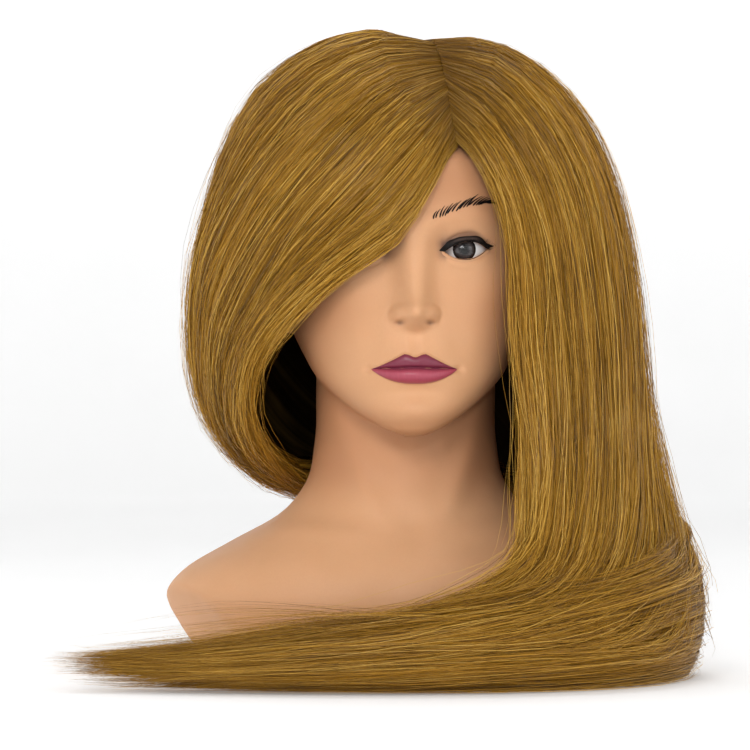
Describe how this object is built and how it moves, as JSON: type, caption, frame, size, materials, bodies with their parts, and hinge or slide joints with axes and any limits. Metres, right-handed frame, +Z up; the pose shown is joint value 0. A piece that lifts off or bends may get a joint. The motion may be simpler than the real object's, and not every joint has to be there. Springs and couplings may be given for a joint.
{
  "type": "mannequin training head",
  "caption": "Hairdressing practice head with shoulders, rooted long blonde hair parted off centre and swept over one shoulder, glass-look eyes and a clamp socket in the base.",
  "frame": {"origin": "mouth of the stand socket on the underside of the base plate", "axes": "+Z up, the face looks towards -Y, +X is the mannequin's left"},
  "size_m": [0.3833, 0.2769, 0.365],
  "materials": {
    "skin": "satin soft vinyl",
    "scalp": "satin soft vinyl with hair roots",
    "foam": "rigid foam",
    "base_plate": "moulded matt",
    "socket": "moulded satin",
    "screws": "zinc plated",
    "eye_white": "polished",
    "iris": "printed",
    "cornea": "clear polished",
    "lashes": "matt black fibre",
    "lips": "painted gloss",
    "makeup": "painted lines",
    "hair": "silky golden blonde fibre"
  },
  "bodies": {
    "root": {"bust_skin": "skin", "scalp_cap": "scalp", "foam_core": "foam", "base_plate": "base_plate", "stand_socket": "socket", "base_screws": "screws", "socket_screws": "screws", "right_eye_white": "eye_white", "right_eye_iris": "iris", "right_eye_cornea": "cornea", "right_lash_strip": "lashes", "left_eye_white": "eye_white", "left_eye_iris": "iris", "left_eye_cornea": "cornea", "left_lash_strip": "lashes", "hair_fringe": "hair", "hair_face_curtain": "hair", "hair_right_side": "hair", "hair_left_side": "hair", "hair_back_right": "hair", "hair_back_left": "hair", "hair_right_curl": "hair", "hair_nape_wrap": "hair", "hair_back_fall": "hair", "hair_shoulder_hank": "hair", "hair_front_hank": "hair", "hair_tips": "hair", "hair_left_drape": "hair"}
  },
  "joints": []
}
